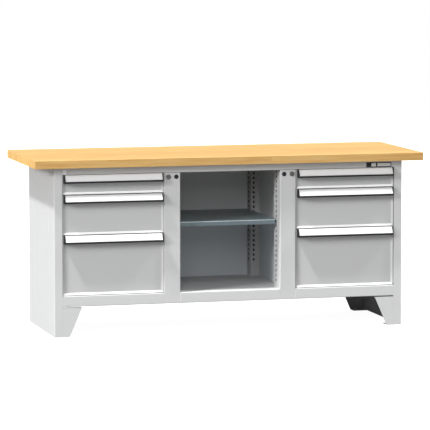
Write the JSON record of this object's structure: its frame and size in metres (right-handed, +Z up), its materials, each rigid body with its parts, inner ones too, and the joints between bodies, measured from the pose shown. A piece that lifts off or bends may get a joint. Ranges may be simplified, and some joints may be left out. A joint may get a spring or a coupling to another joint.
{
  "type": "workbench with drawers",
  "caption": "Free-standing steel workbench with a solid beech top, two banks of bar-handled drawers on telescopic runners and an open bay with an adjustable shelf.",
  "frame": {"origin": "on the floor, under the centre of the worktop", "axes": "+X along the bench to the right as seen from the front, +Y from front to back, +Z up"},
  "size_m": [2, 0.7, 0.88],
  "materials": {
    "beech": "lacquered solid beech, staves glued edge to edge",
    "powder_coat": "light grey fine-textured powder coat on folded sheet steel",
    "zinc": "bluish passivated zinc on sheet steel",
    "aluminium": "satin anodised aluminium bar on a black body with black end caps",
    "nickel": "satin nickel-plated lock barrel",
    "black_plastic": "moulded black plastic"
  },
  "bodies": {
    "bench": {"worktop": "beech", "front_top_rail": "powder_coat", "rear_top_rail": "powder_coat", "back_panel": "powder_coat", "bay_tray": "powder_coat", "shelf": "zinc", "left_side_panel": "powder_coat", "left_front_foot_bracket": "powder_coat", "left_rear_foot_bracket": "powder_coat", "left_bank_tray": "powder_coat", "left_column": "powder_coat", "left_rear_post": "powder_coat", "left_partition": "powder_coat", "left_shelf_bearer": "zinc", "left_blanking_plug": "black_plastic", "left_outer_runner_carrier": "zinc", "left_inner_runner_carrier": "zinc", "right_side_panel": "powder_coat", "right_front_foot_bracket": "powder_coat", "right_rear_foot_bracket": "powder_coat", "right_bank_tray": "powder_coat", "right_column": "powder_coat", "right_rear_post": "powder_coat", "right_partition": "powder_coat", "right_shelf_bearer": "zinc", "right_blanking_plug": "black_plastic", "right_outer_runner_carrier": "zinc", "right_inner_runner_carrier": "zinc"},
    "left_lock_barrel": {"left_lock": "nickel"},
    "left_bottom_middle_runners": {"left_bottom_outer_runner": "zinc", "left_bottom_inner_runner": "zinc"},
    "left_bottom_drawer": {"left_bottom_drawer_box": "powder_coat", "left_bottom_drawer_front": "powder_coat", "left_bottom_drawer_handle": "aluminium"},
    "left_middle_middle_runners": {"left_middle_outer_runner": "zinc", "left_middle_inner_runner": "zinc"},
    "left_middle_drawer": {"left_middle_drawer_box": "powder_coat", "left_middle_drawer_front": "powder_coat", "left_middle_drawer_handle": "aluminium"},
    "left_top_middle_runners": {"left_top_outer_runner": "zinc", "left_top_inner_runner": "zinc"},
    "left_top_drawer": {"left_top_drawer_box": "powder_coat", "left_top_drawer_front": "powder_coat", "left_top_drawer_handle": "aluminium"},
    "right_lock_barrel": {"right_lock": "nickel"},
    "right_bottom_middle_runners": {"right_bottom_outer_runner": "zinc", "right_bottom_inner_runner": "zinc"},
    "right_bottom_drawer": {"right_bottom_drawer_box": "powder_coat", "right_bottom_drawer_front": "powder_coat", "right_bottom_drawer_handle": "aluminium"},
    "right_middle_middle_runners": {"right_middle_outer_runner": "zinc", "right_middle_inner_runner": "zinc"},
    "right_middle_drawer": {"right_middle_drawer_box": "powder_coat", "right_middle_drawer_front": "powder_coat", "right_middle_drawer_handle": "aluminium"},
    "right_top_middle_runners": {"right_top_outer_runner": "zinc", "right_top_inner_runner": "zinc"},
    "right_top_drawer": {"right_top_drawer_box": "powder_coat", "right_top_drawer_front": "powder_coat", "right_top_drawer_handle": "aluminium"}
  },
  "joints": [
    {"name": "left_lock_turn", "type": "hinge", "parent": "bench", "child": "left_lock_barrel", "pos_m": [-0.319, -0.31, 0.783], "axis": [0, 1, 0], "range_deg": [0, 90]},
    {"name": "left_bottom_drawer_slide", "type": "slide", "parent": "bench", "child": "left_bottom_drawer", "axis": [0, -1, 0], "range_m": [0, 0.5]},
    {"name": "left_bottom_middle_runners_slide", "type": "slide", "parent": "bench", "child": "left_bottom_middle_runners", "axis": [0, -1, 0], "range_m": [0, 0.25]},
    {"name": "left_middle_drawer_slide", "type": "slide", "parent": "bench", "child": "left_middle_drawer", "axis": [0, -1, 0], "range_m": [0, 0.5]},
    {"name": "left_middle_middle_runners_slide", "type": "slide", "parent": "bench", "child": "left_middle_middle_runners", "axis": [0, -1, 0], "range_m": [0, 0.25]},
    {"name": "left_top_drawer_slide", "type": "slide", "parent": "bench", "child": "left_top_drawer", "axis": [0, -1, 0], "range_m": [0, 0.5]},
    {"name": "left_top_middle_runners_slide", "type": "slide", "parent": "bench", "child": "left_top_middle_runners", "axis": [0, -1, 0], "range_m": [0, 0.25]},
    {"name": "right_lock_turn", "type": "hinge", "parent": "bench", "child": "right_lock_barrel", "pos_m": [0.319, -0.31, 0.783], "axis": [0, 1, 0], "range_deg": [-90, 0]},
    {"name": "right_bottom_drawer_slide", "type": "slide", "parent": "bench", "child": "right_bottom_drawer", "axis": [0, -1, 0], "range_m": [0, 0.5]},
    {"name": "right_bottom_middle_runners_slide", "type": "slide", "parent": "bench", "child": "right_bottom_middle_runners", "axis": [0, -1, 0], "range_m": [0, 0.25]},
    {"name": "right_middle_drawer_slide", "type": "slide", "parent": "bench", "child": "right_middle_drawer", "axis": [0, -1, 0], "range_m": [0, 0.5]},
    {"name": "right_middle_middle_runners_slide", "type": "slide", "parent": "bench", "child": "right_middle_middle_runners", "axis": [0, -1, 0], "range_m": [0, 0.25]},
    {"name": "right_top_drawer_slide", "type": "slide", "parent": "bench", "child": "right_top_drawer", "axis": [0, -1, 0], "range_m": [0, 0.5]},
    {"name": "right_top_middle_runners_slide", "type": "slide", "parent": "bench", "child": "right_top_middle_runners", "axis": [0, -1, 0], "range_m": [0, 0.25]}
  ],
  "couplings": [
    {"joint": "left_bottom_middle_runners_slide", "follows": "left_bottom_drawer_slide", "ratio": 0.5},
    {"joint": "left_middle_middle_runners_slide", "follows": "left_middle_drawer_slide", "ratio": 0.5},
    {"joint": "left_top_middle_runners_slide", "follows": "left_top_drawer_slide", "ratio": 0.5},
    {"joint": "right_bottom_middle_runners_slide", "follows": "right_bottom_drawer_slide", "ratio": 0.5},
    {"joint": "right_middle_middle_runners_slide", "follows": "right_middle_drawer_slide", "ratio": 0.5},
    {"joint": "right_top_middle_runners_slide", "follows": "right_top_drawer_slide", "ratio": 0.5}
  ]
}
